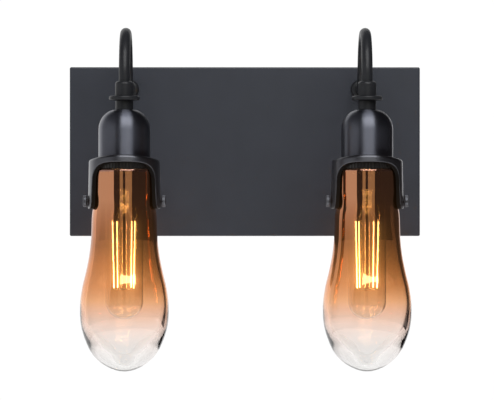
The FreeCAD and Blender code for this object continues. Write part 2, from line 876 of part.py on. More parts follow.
def bulb_base():
    """Rolled screw base of the bulb."""
    inner = bulb_base_radius - thread_depth - bulb_base_wall
    root = bulb_base_radius - thread_depth
    turns = int(bulb_base_height / thread_pitch) - 1
    first = bulb_rim + (bulb_base_height - turns * thread_pitch) / 2
    corners = [(inner, bulb_rim, 0), (root, bulb_rim, 0)]
    for turn in range(turns):
        low = first + turn * thread_pitch
        corners.append((root, low, thread_depth / 2))
        corners.append((bulb_base_radius, low + thread_pitch * thread_rise_share, thread_depth))
        corners.append((bulb_base_radius, low + thread_pitch * (1 - thread_rise_share), thread_depth))
    corners.append((root, first + turns * thread_pitch, thread_depth / 2))
    corners += [(root, base_top, bulb_base_wall), (inner, base_top, 0)]
    return turned(corners)


def bulb_insulator():
    """Dark cone between the bulb's base and its end contact."""
    inner = bulb_base_radius - thread_depth - bulb_base_wall
    return turned([
        (0, base_top - bulb_base_wall, 0),
        (inner, base_top - bulb_base_wall, 0),
        (inner, base_top, 0),
        (insulator_tip_radius, insulator_top, 0),
        (0, insulator_top, 0),
    ])


def bulb_contact():
    """Soldered end contact of the bulb."""
    return turned([
        (0, insulator_top, 0),
        (contact_radius, insulator_top, 0),
        (contact_radius, contact_top, contact_rounding),
        (0, contact_top, 0),
    ])


def bulb_stem():
    """Glass stem with a flared mount, a pressed waist and a centre rod."""
    flare_radius = bulb_base_radius - thread_depth - bulb_base_wall - seat_gap - bulb_glass_wall
    lip_top = bulb_rim + bulb_neck_lip
    flare_foot = press_bottom + stem_flare_length
    edges = straight_run([
        flat_point(0, rod_bottom),
        flat_point(stem_rod_radius, rod_bottom),
        flat_point(stem_rod_radius, press_bottom),
        flat_point(stem_press_radius, press_bottom),
        flat_point(stem_press_radius, flare_foot),
    ])
    edges.append(smooth_curve(
        [flat_point(stem_press_radius, flare_foot), flat_point(flare_radius - seat_gap, lip_top)],
        Vector(0, 0, 1), Vector(1, 0, 1)))
    edges += straight_run([
        flat_point(flare_radius - seat_gap, lip_top),
        flat_point(0, lip_top),
        flat_point(0, rod_bottom),
    ])
    return turned_edges(Part.__sortEdges__(edges))


def filament_end(bearing, spread, height):
    """A filament's end, by its bearing round the bulb's axis."""
    angle = math.radians(bearing)
    return Vector(spread * math.cos(angle), spread * math.sin(angle), height)


def bulb_filaments():
    """Four long filaments that draw in a little towards their feet."""
    strands = []
    for bearing in filament_bearings:
        top = filament_end(bearing, filament_top_spread, filament_top)
        foot = filament_end(bearing, filament_foot_spread, filament_bottom)
        strands.append(rod(filament_radius, top, foot))
    return Part.makeCompound(strands)


def bulb_wires():
    """Support wires from the pressed waist to the filaments, and from their feet to a ring on the rod."""
    ring_height_here = rod_bottom + wire_ring_lift
    ring_radius_here = stem_rod_radius + wire_radius
    wires = [Part.makeTorus(ring_radius_here, wire_radius, Vector(0, 0, ring_height_here))]
    for bearing in filament_bearings:
        root = filament_end(bearing, stem_press_radius - wire_radius, press_bottom)
        top = filament_end(bearing, filament_top_spread, filament_top)
        foot = filament_end(bearing, filament_foot_spread, filament_bottom)
        hub = filament_end(bearing, ring_radius_here + wire_radius, ring_height_here)
        wires.append(rod(wire_radius, root, top))
        wires.append(rod(wire_radius, foot, hub))
    return Part.makeCompound(wires)


def lamp_pieces(name, side):
    """All pieces of one lamp on the Z axis, by node name. The outer screw is away from the middle."""
    return {
        name + "_arm_boss": arm_boss(),
        name + "_arm_tube": arm_tube(),
        name + "_arm_washer": arm_washer(),
        name + "_arm_nut": arm_nut(),
        name + "_lamp_lead": lamp_lead(side),
        name + "_arm_collar": arm_collar(),
        name + "_collar_disc": collar_disc(),
        name + "_neck": neck(),
        name + "_socket_nipple": socket_nipple(),
        name + "_socket_cup": socket_cup(),
        name + "_socket_body": socket_body(),
        name + "_screw_shell": screw_shell(),
        name + "_centre_contact": centre_contact(),
        name + "_yoke": yoke(),
        name + "_shade_ring": shade_ring(),
        name + "_outer_thumbscrew": thumbscrew(side),
        name + "_inner_thumbscrew": thumbscrew(-side),
        name + "_outer_pad": screw_pad(side),
        name + "_inner_pad": screw_pad(-side),
        name + "_glass_shade": glass_shade(),
        name + "_bulb_glass": bulb_glass(),
        name + "_bulb_base": bulb_base(),
        name + "_bulb_insulator": bulb_insulator(),
        name + "_bulb_contact": bulb_contact(),
        name + "_bulb_stem": bulb_stem(),
        name + "_bulb_filaments": bulb_filaments(),
        name + "_bulb_wires": bulb_wires(),
    }


def main():
    os.makedirs("parts", exist_ok=True)
    pieces = {
        "back_plate": back_plate(),
        "mounting_bracket": mounting_bracket(),
        "plate_screws": plate_screws(),
        "ground_screw": ground_screw(),
        "wire_connectors": wire_connectors(),
    }
    for name, side in (("left", -1), ("right", 1)):
        place = Vector(side * lamp_spacing / 2, lamp_y, 0)
        for node, shape in lamp_pieces(name, side).items():
            pieces[node] = shape.translated(place)
    for node, shape in pieces.items():
        shape.exportStep("parts/" + node + ".step")
        print(node, len(shape.Solids), shape.isValid(), round(shape.Volume, 1))


main()
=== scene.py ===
# Wall sconce with two lit lamps: charcoal metalwork, heavy glasses with a copper film, filament bulbs.
# Sizes are in metres. X runs right, Y into the wall and Z up, from the middle of the plate's rear side.

import json
import math

import bmesh
import bpy
from mathutils import Matrix, Vector
from mathutils.geometry import interpolate_bezier

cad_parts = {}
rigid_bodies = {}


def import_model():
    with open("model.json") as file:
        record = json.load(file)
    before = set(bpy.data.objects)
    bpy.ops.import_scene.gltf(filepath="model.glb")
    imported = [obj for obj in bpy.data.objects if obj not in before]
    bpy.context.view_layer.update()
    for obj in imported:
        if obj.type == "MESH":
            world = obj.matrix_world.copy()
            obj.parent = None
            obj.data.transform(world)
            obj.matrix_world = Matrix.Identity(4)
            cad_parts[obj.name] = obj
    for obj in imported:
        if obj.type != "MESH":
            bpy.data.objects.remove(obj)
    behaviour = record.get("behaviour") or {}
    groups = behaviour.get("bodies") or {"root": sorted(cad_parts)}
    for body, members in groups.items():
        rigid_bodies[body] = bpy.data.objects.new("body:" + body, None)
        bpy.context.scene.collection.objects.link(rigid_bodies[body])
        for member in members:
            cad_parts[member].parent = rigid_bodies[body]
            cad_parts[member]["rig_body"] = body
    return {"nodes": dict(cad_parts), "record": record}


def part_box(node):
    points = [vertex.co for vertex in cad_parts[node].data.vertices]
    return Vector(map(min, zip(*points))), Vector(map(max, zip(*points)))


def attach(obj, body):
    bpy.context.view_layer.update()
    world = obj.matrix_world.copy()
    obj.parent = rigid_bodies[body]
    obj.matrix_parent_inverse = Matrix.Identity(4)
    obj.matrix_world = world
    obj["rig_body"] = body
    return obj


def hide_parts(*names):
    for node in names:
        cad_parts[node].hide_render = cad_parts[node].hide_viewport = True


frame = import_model()

# Material slot of each CAD node
slots = {part["node"]: part["material_slot"] for part in frame["record"]["subparts"]}

mm = 0.001

# Camera: its turn is in degrees to the left, its lens and sensor are in millimetres
camera_place = (-0.0158, -2.502, -0.04365)
camera_turn = -0.4088
camera_lens = 200.3
camera_sensor = 36.0
camera_nearest = 0.05

# Glass
glass_neck_radius = 26.93 * mm
glass_belly_radius = 38.1 * mm
glass_wall = 3.3 * mm
glass_belly_wall = 3.5 * mm
glass_base = 7.75 * mm
glass_rim_rounding = 1.1 * mm
groove_half_width = 8.0 * mm
groove_depth = 0.55 * mm
groove_drop = 27.25 * mm
# Outer side: how far down the glass, and how far from the neck's radius out to the belly's
neck_to_belly_shares = ((0.225, 0.072), (0.349, 0.153), (0.428, 0.298), (0.508, 0.548), (0.587, 0.836))
belly_down_share = 0.683
# Outer side: how far down the glass, and the radius over the belly's
belly_to_foot_shares = ((0.765, 0.979), (0.844, 0.880), (0.923, 0.686), (0.966, 0.460))
# Inner side, in the same two ways
inner_to_belly_shares = ((0.365, 0.155), (0.448, 0.300), (0.531, 0.550), (0.614, 0.845))
inner_belly_down_share = 0.700
inner_to_foot_shares = ((0.768, 0.972), (0.830, 0.893), (0.887, 0.748), (0.950, 0.480))
glass_turn_steps = 160
curve_steps = 8
groove_steps = 12

# Film on the glass: its colour, and the share of it that is a mirror, by the share of the way up
film_colours = (
    (0.000, (0.80, 0.79, 0.78)),
    (0.052, (0.79, 0.77, 0.76)),
    (0.107, (0.86, 0.80, 0.77)),
    (0.206, (0.94, 0.74, 0.65)),
    (0.280, (0.90, 0.54, 0.38)),
    (0.354, (0.93, 0.45, 0.21)),
    (0.428, (1.00, 0.38, 0.125)),
    (0.527, (0.90, 0.31, 0.085)),
    (0.626, (0.60, 0.205, 0.062)),
    (0.700, (0.66, 0.23, 0.085)),
    (0.849, (0.83, 0.36, 0.18)),
    (0.985, (0.83, 0.36, 0.18)),
    (1.000, (0.80, 0.42, 0.36)),
)
film_mirror_shares = (
    (0.320, 0.0),
    (0.354, 0.044),
    (0.428, 0.26),
    (0.527, 0.48),
    (0.626, 0.575),
    (0.700, 0.675),
    (0.849, 0.85),
    (0.985, 0.85),
    (1.000, 0.25),
)
film_wander = 1.2 * mm

# Bulb
bulb_radius = 16.3 * mm
bulb_neck_radius = 12.9 * mm
bulb_wall = 0.8 * mm
bulb_lip_radius = 11.7 * mm
bulb_lip_height = 2.0 * mm
bulb_neck_length = 11.0 * mm
bulb_shoulder = 5.0 * mm
bulb_turn_steps = 96
bulb_tip_steps = 14
base_crest_radius = 13.1 * mm
base_wall = 0.6 * mm
base_thread_pitch = 3.629 * mm
base_thread_depth = 0.75 * mm

# Filaments: their bearings are in degrees round the bulb's axis, from the right towards the wall
filament_bearings = (207.0, 326.0, 129.0, 55.0)
filament_top_spread = 10.9 * mm
filament_foot_spread = 9.7 * mm
filament_radius = 0.42 * mm
filament_tab_radius = 0.3 * mm
filament_tab_length = 1.0 * mm
filament_turn_steps = 16
filament_glow = 30.0

# Painted glints on the bulb's glass stem, an amber glow, by the share of the way up: its pinch, then its
# flare
stem_painted_glint_shares = ((0.62, 0.0), (0.69, 1.0), (0.75, 0.4), (0.81, 0.4), (0.835, 1.0), (0.86, 0.0))
stem_painted_glint_glow = 4.5

# Serrated ring and thumbscrews
ring_width = 6.2 * mm
ring_rounding = 0.8 * mm
ring_tooth_count = 56
ring_tooth_depth = 0.65 * mm
screw_head_radius = 5.0 * mm
screw_head_thickness = 3.5 * mm
screw_head_rounding = 0.9 * mm
screw_head_dish = 0.35 * mm
screw_flute_count = 32
screw_flute_depth = 0.24 * mm
screw_radius = 2.0 * mm
screw_thread_pitch = 0.7 * mm
screw_thread_depth = 0.36 * mm
pad_hole_radius = 1.08 * mm
pad_hole_depth = 2.7 * mm
flute_land_share = 0.5

# Socket nipple
nipple_bore = 3.4 * mm
nipple_thread_pitch = 1.0 * mm
nipple_thread_depth = 0.5 * mm

# Light panels: the point that they face, and the pale yellow of the windows
panel_aim = (0.0, -0.12, -0.05)
window_tint = (1.0, 0.97, 0.72)

# White sweep behind the lamps: the bearing of its middle, left of straight back, and how far it reaches
sweep_bearing = math.radians(17.5)
sweep_half_width = math.radians(44.5)
sweep_softness = math.radians(3)
# The sweep closes in below too, between these two heights on a sphere of radius 1
sweep_below_start = -0.5
sweep_below_end = -0.9
sweep_brightness = 1.02
room_dimness = (0.035, 0.035, 0.04)

# Floor
floor_height = -0.6
floor_radius = 1.1
floor_turn_steps = 96
floor_glow = 0.66

# CAD nodes that the scene has its own pieces for, by the ends of their names
remade_nodes = (
    "glass_shade", "bulb_glass", "bulb_filaments", "bulb_base", "socket_nipple", "shade_ring",
    "thumbscrew")

# A fork's face is an inner or cut one, and gets near-black painted shade, when it points outward and upward
# less than this
shade_outward_share = 0.6
shade_upward_share = 0.2

# Patterns and finishes
pattern_low = 0.3
pattern_high = 0.7
fine_grain = 0.02 * mm
coarse_grain = 0.03 * mm
varnish_roughness = 0.2
glass_index = 1.5
white = (1.0, 1.0, 1.0)

# Meshes
smooth_angle = math.radians(32)
merge_distance = 0.002 * mm
edge_guard = 0.3 * mm
pole_radius = 0.0001 * mm
arc_steps = 6
small_turn_steps = 40
steps_per_flute = 12
steps_per_thread = 10


def add_node(tree, kind, inputs=None, **settings):
    """Adds a node to a tree. Each input is a number, a colour or another node's output."""
    node = tree.nodes.new(kind)
    for name, value in settings.items():
        setattr(node, name, value)
    for name, value in (inputs or {}).items():
        if isinstance(value, bpy.types.NodeSocket):
            tree.links.new(value, node.inputs[name])
        else:
            node.inputs[name].default_value = value
    return node


def figure(tree, operation, *values):
    """Result of one sum in a node tree. Each value is a number or another node's output."""
    return add_node(tree, "ShaderNodeMath", dict(enumerate(values)), operation=operation).outputs["Value"]


def new_finish(name):
    """An empty material, ready for its nodes."""
    finish = bpy.data.materials.new(name)
    finish.use_nodes = True
    finish.node_tree.nodes.clear()
    return finish


def place_on_piece(tree):
    """The point of the piece that is shaded, in the piece's own metres."""
    return add_node(tree, "ShaderNodeTexCoord").outputs["Object"]


def height_on_piece(tree):
    """Height of the point that is shaded."""
    return add_node(tree, "ShaderNodeSeparateXYZ", {"Vector": place_on_piece(tree)}).outputs["Z"]


def noise(tree, scale, detail=3.0, stretch=(1.0, 1.0, 1.0)):
    """Soft pattern, with so many lumps to the metre."""
    place = add_node(tree, "ShaderNodeMapping", {"Vector": place_on_piece(tree), "Scale": stretch})
    texture = add_node(
        tree, "ShaderNodeTexNoise", {"Vector": place.outputs["Vector"], "Scale": scale, "Detail": detail})
    return texture.outputs["Fac"]


def spread(tree, value, low, high, from_low=pattern_low, from_high=pattern_high):
    """Spreads a value's range, or else a pattern's usual range, over another one."""
    node = add_node(tree, "ShaderNodeMapRange", {
        "Value": value, "From Min": from_low, "From Max": from_high, "To Min": low, "To Max": high})
    return node.outputs["Result"]


def ramp(tree, value, stops):
    """Colour that changes with a value, through (value, colour) stops."""
    node = add_node(tree, "ShaderNodeValToRGB", {"Fac": value})
    elements = node.color_ramp.elements
    while len(elements) < len(stops):
        elements.new(1.0)
    for element, (position, colour) in zip(elements, stops):
        element.position = position
        element.color = (*colour, 1.0)
    return node.outputs["Color"]


def grey_ramp(tree, value, stops):
    """Grey that changes with a value, through (value, level) stops."""
    return ramp(tree, value, [(position, (level, level, level)) for position, level in stops])


def blend(tree, pattern, first, second):
    """Colour that goes from the first to the second with a pattern's usual values."""
    return ramp(tree, pattern, [(pattern_low, first), (pattern_high, second)])


def two_tones(tree, pattern, colour, contrast):
    """A colour that the pattern makes a little darker and a little lighter."""
    darker = tuple(part * (1.0 - contrast) for part in colour)
    lighter = tuple(part * (1.0 + contrast) for part in colour)
    return blend(tree, pattern, darker, lighter)


def bump(tree, height, depth, normal=None):
    """Raises the surface by a pattern, so many metres at most."""
    inputs = {"Height": height, "Distance": depth}
    if normal:
        inputs["Normal"] = normal
    return add_node(tree, "ShaderNodeBump", inputs).outputs["Normal"]


def surface(finish, inputs):
    """Ends a material in one shader."""
    tree = finish.node_tree
    shader = add_node(tree, "ShaderNodeBsdfPrincipled", inputs)
    output = add_node(tree, "ShaderNodeOutputMaterial")
    tree.links.new(shader.outputs["BSDF"], output.inputs["Surface"])
    return finish


def satin_paint(name, colour, roughness, grain_depth, metal=0.0, gloss=0.5, drawn=0.0, varnish=0.0):
    """Sprayed satin paint with a faint orange peel.

    Metal is how metallic its shine is, and varnish the strength of a clear coat. On turned pieces the paint
    is drawn, which stretches its glints up and down.
    """
    finish = new_finish(name)
    tree = finish.node_tree
    mottle = noise(tree, 45.0, detail=4.0)
    peel = bump(tree, noise(tree, 620.0, detail=2.0), grain_depth)
    grain = bump(tree, noise(tree, 3200.0, detail=2.0), grain_depth / 3, peel)
    upright = add_node(tree, "ShaderNodeCombineXYZ", {"Z": 1.0}).outputs["Vector"]
    return surface(finish, {
        "Base Color": two_tones(tree, mottle, colour, 0.06),
        "Metallic": metal,
        "Roughness": spread(tree, mottle, roughness - 0.03, roughness + 0.03),
        "Normal": grain,
        "Specular IOR Level": gloss,
        "Anisotropic": drawn,
        "Tangent": upright,
        "Coat Weight": varnish,
        "Coat Roughness": varnish_roughness,
    })


def plated_metal(name, colour, roughness, streak=(1.0, 1.0, 12.0)):
    """Bright metal with fine drawn streaks."""
    finish = new_finish(name)
    tree = finish.node_tree
    streaks = noise(tree, 900.0, stretch=streak)
    return surface(finish, {
        "Base Color": two_tones(tree, noise(tree, 90.0), colour, 0.08),
        "Metallic": 1.0,
        "Roughness": spread(tree, streaks, roughness - 0.06, roughness + 0.1),
        "Normal": bump(tree, streaks, fine_grain),
    })


def moulded(name, colour, roughness, grain_depth=coarse_grain):
    """Moulded plastic, resin, rubber or glaze with a fine grain."""
    finish = new_finish(name)
    tree = finish.node_tree
    grain = noise(tree, 2600.0)
    return surface(finish, {
        "Base Color": two_tones(tree, noise(tree, 120.0), colour, 0.1),
        "Roughness": spread(tree, grain, roughness - 0.05, roughness + 0.05),
        "Normal": bump(tree, grain, grain_depth),
    })


def copper_film():
    """Clear glass under a thin metal film: copper at the top, amber lower down, then a faint smoke.

    The film is a mirror from outside only, and lets the same light through both ways.
    """
    finish = new_finish("copper_film")
    tree = finish.node_tree
    bottom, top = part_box("left_glass_shade")
    wander = spread(
        tree, noise(tree, 9.0, detail=2.0, stretch=(1.0, 1.0, 0.3)), -film_wander, film_wander)
    height = figure(tree, "ADD", height_on_piece(tree), wander)
    level = spread(tree, height, 0.0, 1.0, bottom.z, top.z)
    film = grey_ramp(tree, level, film_mirror_shares)
    within = add_node(tree, "ShaderNodeNewGeometry").outputs["Backfacing"]
    outside = figure(tree, "SUBTRACT", 1.0, within)
    mirror = figure(tree, "MULTIPLY", film, outside)
    evening = figure(tree, "SUBTRACT", 1.0, figure(tree, "MULTIPLY", film, within))
    dimming = figure(tree, "MULTIPLY", evening, evening)
    colour = ramp(tree, level, film_colours)
    tint = add_node(tree, "ShaderNodeVectorMath", {0: colour, "Scale": dimming}, operation="SCALE")
    return surface(finish, {
        "Base Color": tint.outputs["Vector"],
        "Metallic": mirror,
        "Roughness": 0.02,
        "IOR": glass_index,
        "Transmission Weight": 1.0,
    })


def clear_glass(name, colour):
    """Clear glass with faint waves."""
    finish = new_finish(name)
    tree = finish.node_tree
    return surface(finish, {
        "Base Color": two_tones(tree, noise(tree, 30.0), colour, 0.01),
        "Roughness": 0.0,
        "IOR": glass_index,
        "Transmission Weight": 1.0,
        "Normal": bump(tree, noise(tree, 25.0, detail=1.0), coarse_grain),
    })


def pressed_glass_with_painted_glints():
    """Glass of the bulb's stem, with amber glints painted on its pinch and its flare as a glow."""
    finish = new_finish("stem_glass")
    tree = finish.node_tree
    bottom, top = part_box("left_bulb_stem")
    level = spread(tree, height_on_piece(tree), 0.0, 1.0, bottom.z, top.z)
    lumps = noise(tree, 560.0, detail=2.0)
    glints = grey_ramp(tree, lumps, [(0.46, 0.08), (0.52, 0.25), (0.60, 1.0)])
    painted_glint_share = figure(tree, "MULTIPLY", grey_ramp(tree, level, stem_painted_glint_shares), glints)
    return surface(finish, {
        "Base Color": (0.96, 0.93, 0.88, 1.0),
        "Roughness": 0.05,
        "IOR": glass_index,
        "Transmission Weight": 1.0,
        "Normal": bump(tree, lumps, 0.2 * mm),
        # Painted glints: the stem glows amber in lumps, standing in for the filaments' light that it
        # catches
        "Emission Color": blend(tree, lumps, (1.0, 0.55, 0.12), (1.0, 0.75, 0.3)),
        "Emission Strength": figure(tree, "MULTIPLY", painted_glint_share, stem_painted_glint_glow),
    })


def glowing_phosphor():
    """Lit filament: pale yellow along its length, deeper amber where the coat is thick."""
    finish = new_finish("lit_phosphor")
    tree = finish.node_tree
    lumps = noise(tree, 700.0, detail=2.0)
    return surface(finish, {
        "Base Color": (0.9, 0.6, 0.2, 1.0),
        "Roughness": 0.6,
        "Emission Color": blend(tree, lumps, (1.0, 0.62, 0.25), (1.0, 0.72, 0.36)),
        "Emission Strength": filament_glow,
    })


def floor_matt():
    """Pale floor of a lit studio, a little uneven."""
    finish = new_finish("floor_matt")
    tree = finish.node_tree
    patches = noise(tree, 6.0)
    return surface(finish, {
        "Base Color": two_tones(tree, patches, (0.84, 0.84, 0.83), 0.02),
        "Roughness": 0.8,
        "Emission Color": (1.0, 1.0, 0.99, 1.0),
        "Emission Strength": floor_glow,
    })


def finishes():
    """Every material, by the record's slot."""
    return {
        "plate_paint": satin_paint("plate_paint", (0.021, 0.025, 0.037), 0.5, coarse_grain),
        "fitting_paint": satin_paint(
            "fitting_paint", (0.018, 0.019, 0.022), 0.45, fine_grain, gloss=0.2, varnish=0.15),
        "cup_paint": satin_paint(
            "cup_paint", (0.110, 0.116, 0.142), 0.42, fine_grain, metal=1.0, drawn=0.92, varnish=0.25),
        "yoke_paint": satin_paint(
            "yoke_paint", (0.095, 0.098, 0.112), 0.40, coarse_grain, metal=1.0, drawn=0.7, varnish=0.25),
        "screw_paint": satin_paint("screw_paint", (0.110, 0.115, 0.130), 0.40, fine_grain, metal=1.0),
        # Near-black painted shade for the forks' inner and cut faces
        "painted_shade_black": satin_paint("painted_shade_black", (0.004, 0.004, 0.004), 0.5, fine_grain, gloss=0.05),
        "ring_resin": moulded("ring_resin", (0.014, 0.014, 0.015), 0.3),
        "pad_rubber": moulded("pad_rubber", (0.25, 0.22, 0.18), 0.7),
        "zinc_plate": plated_metal("zinc_plate", (0.55, 0.56, 0.57), 0.34),
        "screw_steel": plated_metal("screw_steel", (0.33, 0.34, 0.35), 0.3),
        "green_paint": satin_paint("green_paint", (0.04, 0.26, 0.09), 0.36, fine_grain),
        "connector_plastic": moulded("connector_plastic", (0.62, 0.34, 0.08), 0.4),
        "lead_sleeve": moulded("lead_sleeve", (0.02, 0.02, 0.02), 0.5),
        "socket_resin": moulded("socket_resin", (0.02, 0.02, 0.021), 0.45),
        "socket_brass": plated_metal("socket_brass", (0.75, 0.52, 0.22), 0.26),
        "copper_glass": copper_film(),
        "inner_glass": clear_glass("inner_glass", (0.985, 0.985, 0.98)),
        "bulb_clear": clear_glass("bulb_clear", (0.98, 0.95, 0.90)),
        "bulb_brass": plated_metal("bulb_brass", (0.76, 0.55, 0.26), 0.24, streak=(1.0, 1.0, 1.0)),
        "insulator_glaze": moulded("insulator_glaze", (0.01, 0.01, 0.012), 0.16, fine_grain / 2),
        "solder": plated_metal("solder", (0.6, 0.6, 0.6), 0.4, streak=(1.0, 1.0, 1.0)),
        "stem_glass": pressed_glass_with_painted_glints(),
        "filament_glow": glowing_phosphor(),
        "wire_steel": plated_metal("wire_steel", (0.6, 0.55, 0.45), 0.3),
    }


def smooth_line(points, start_direction, end_direction):
    """Points of a smooth curve through (radius, height) points, with set directions at its ends."""
    knots = [Vector((radius, height, 0.0)) for radius, height in points]
    directions = [Vector((*start_direction, 0.0))]
    for before, here, after in zip(knots, knots[1:], knots[2:]):
        run_in = (here - before).length
        run_out = (after - here).length
        slope = (here - before) / run_in * run_out + (after - here) / run_out * run_in
        directions.append((slope / (run_in + run_out)).normalized())
    directions.append(Vector((*end_direction, 0.0)))
    line = []
    for index in range(len(knots) - 1):
        start = knots[index]
        end = knots[index + 1]
        reach = (end - start).length / 3
        stretch = interpolate_bezier(
            start, start + directions[index] * reach,
            end - directions[index + 1] * reach, end, curve_steps + 1)
        line += [(point.x, point.y) for point in stretch[:-1]]
    line.append((knots[-1].x, knots[-1].y))
    return line


def arc_line(middle, radius, start_angle, end_angle, steps=arc_steps):
    """Points of an arc in the (radius, height) plane, by angles in degrees."""
    line = []
    for step in range(steps + 1):
        angle = math.radians(start_angle + (end_angle - start_angle) * step / steps)
        line.append((middle[0] + radius * math.cos(angle), middle[1] + radius * math.sin(angle)))
    return line


def upright_line(radius, start, end, step):
    """Evenly spaced points at one radius, from one height to another, a step apart at most."""
    count = math.ceil(abs(end - start) / step)
    return [(radius, start + (end - start) * index / count) for index in range(count + 1)]


def add_turned(mesh, line, steps, place=Matrix(), closed=False, finish_of_runs=None):
    """Adds the surface that a line of (radius, height) points sweeps round the Z axis.

    The place moves the surface, and a closed line's end joins its start. The runs between the points can
    each have a finish, by its number.
    """
    rings = []
    for radius, height in line:
        if radius < pole_radius:
            rings.append([mesh.verts.new(place @ Vector((0.0, 0.0, height)))])
            continue
        ring = []
        for step in range(steps):
            angle = 2 * math.pi * step / steps
            ring.append(mesh.verts.new(
                place @ Vector((radius * math.cos(angle), radius * math.sin(angle), height))))
        rings.append(ring)
    followers = rings[1:] + rings[:1] if closed else rings[1:]
    for index, (first, second) in enumerate(zip(rings, followers)):
        for step in range(steps):
            corners = []
            for ring, turn in ((first, step), (first, step + 1), (second, step + 1), (second, step)):
                corner = ring[turn % len(ring)]
                if corner not in corners:
                    corners.append(corner)
            face = mesh.faces.new(corners)
            if finish_of_runs:
                face.material_index = finish_of_runs[index]


def round_off(mesh):
    """Smooths the shading of a mesh, apart from its sharp edges."""
    for face in mesh.faces:
        face.smooth = True
    for edge in mesh.edges:
        edge.smooth = len(edge.link_faces) == 2 and edge.calc_face_angle() < smooth_angle


def new_piece(name, mesh, finish_list):
    """Object made of a finished mesh, with its normals outward."""
    bmesh.ops.recalc_face_normals(mesh, faces=mesh.faces)
    round_off(mesh)
    data = bpy.data.meshes.new(name)
    mesh.to_mesh(data)
    mesh.free()
    for finish in finish_list:
        data.materials.append(finish)
    piece = bpy.data.objects.new(name, data)
    bpy.context.scene.collection.objects.link(piece)
    return piece


def turned_piece(name, line, steps, finish, closed=False):
    """Object turned round the Z axis, in one finish."""
    mesh = bmesh.new()
    add_turned(mesh, line, steps, closed=closed)
    return new_piece(name, mesh, [finish])


def stand_for(piece, node):
    """Makes a finished piece move with a CAD node's body and show in its place."""
    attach(piece, frame["nodes"][node]["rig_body"])
    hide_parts(node)


def new_rule(name, numbers):
    """A Geometry Nodes tree with a mesh, named numbers and a finish coming in."""
    tree = bpy.data.node_groups.new(name, "GeometryNodeTree")
    tree.interface.new_socket("Mesh", in_out="INPUT", socket_type="NodeSocketGeometry")
    for number in numbers:
        tree.interface.new_socket(number, in_out="INPUT", socket_type="NodeSocketFloat")
    tree.interface.new_socket("Finish", in_out="INPUT", socket_type="NodeSocketMaterial")
    tree.interface.new_socket("Mesh", in_out="OUTPUT", socket_type="NodeSocketGeometry")
    return tree, add_node(tree, "NodeGroupInput").outputs


def point_parts(tree):
    """X, Y and Z of each point, its distance from the Z axis, and its turn round it from -0.5 to 0.5."""
    position = add_node(tree, "GeometryNodeInputPosition").outputs["Position"]
    x, y, z = add_node(tree, "ShaderNodeSeparateXYZ", {"Vector": position}).outputs
    squares = figure(tree, "ADD", figure(tree, "MULTIPLY", x, x), figure(tree, "MULTIPLY", y, y))
    turn = figure(tree, "DIVIDE", figure(tree, "ARCTAN2", y, x), 2 * math.pi)
    return x, y, z, figure(tree, "SQRT", squares), turn


def move_to_radius(tree, given, x, y, z, radius, new_radius):
    """Moves each point in or out to its new radius, and ends the tree."""
    share = figure(tree, "DIVIDE", new_radius, radius)
    place = add_node(tree, "ShaderNodeCombineXYZ", {
        "X": figure(tree, "MULTIPLY", x, share), "Y": figure(tree, "MULTIPLY", y, share), "Z": z})
    shaped = add_node(
        tree, "GeometryNodeSetPosition", {"Geometry": given["Mesh"], "Position": place.outputs["Vector"]})
    real = add_node(tree, "GeometryNodeRealizeInstances", {"Geometry": shaped.outputs["Geometry"]})
    finished = add_node(tree, "GeometryNodeSetMaterial", {
        "Geometry": real.outputs["Geometry"], "Material": given["Finish"]})
    add_node(tree, "NodeGroupOutput", {"Mesh": finished.outputs["Geometry"]})
    return tree


def flute_rule():
    """Cuts round flutes along a rim: so many of them, so deep, with lands between them."""
    tree, given = new_rule("rim_flutes", ("Count", "Depth", "Land Share", "Core Radius"))
    x, y, z, radius, turn = point_parts(tree)
    along = figure(tree, "FRACT", figure(tree, "MULTIPLY", turn, given["Count"]))
    past_land = figure(tree, "MAXIMUM", figure(tree, "SUBTRACT", along, given["Land Share"]), 0.0)
    across = figure(tree, "DIVIDE", past_land, figure(tree, "SUBTRACT", 1.0, given["Land Share"]))
    hollow = figure(tree, "SINE", figure(tree, "MULTIPLY", across, math.pi))
    on_rim = figure(tree, "GREATER_THAN", radius, given["Core Radius"])
    cut = figure(tree, "MULTIPLY", figure(tree, "MULTIPLY", hollow, given["Depth"]), on_rim)
    return move_to_radius(tree, given, x, y, z, radius, figure(tree, "SUBTRACT", radius, cut))


def thread_rule():
    """Cuts one helical groove between two heights. The thread fades to its root at both ends."""
    tree, given = new_rule("screw_thread", ("Pitch", "Depth", "Crest Radius", "Low", "High"))
    x, y, z, radius, turn = point_parts(tree)
    steps_up = figure(tree, "SUBTRACT", figure(tree, "DIVIDE", z, given["Pitch"]), turn)
    wave = figure(tree, "COSINE", figure(tree, "MULTIPLY", steps_up, 2 * math.pi))
    ridge = figure(tree, "MULTIPLY_ADD", wave, 0.5, 0.5)
    above_low = figure(tree, "SUBTRACT", z, given["Low"])
    below_high = figure(tree, "SUBTRACT", given["High"], z)
    to_end = figure(tree, "MINIMUM", above_low, below_high)
    fade = figure(tree, "MINIMUM", figure(tree, "DIVIDE", to_end, given["Pitch"]), 1.0)
    shown = figure(tree, "MULTIPLY", ridge, figure(tree, "MAXIMUM", fade, 0.0))
    cut = figure(tree, "MULTIPLY", given["Depth"], figure(tree, "SUBTRACT", 1.0, shown))
    allowed = figure(tree, "SUBTRACT", given["Crest Radius"], cut)
    return move_to_radius(tree, given, x, y, z, radius, figure(tree, "MINIMUM", radius, allowed))


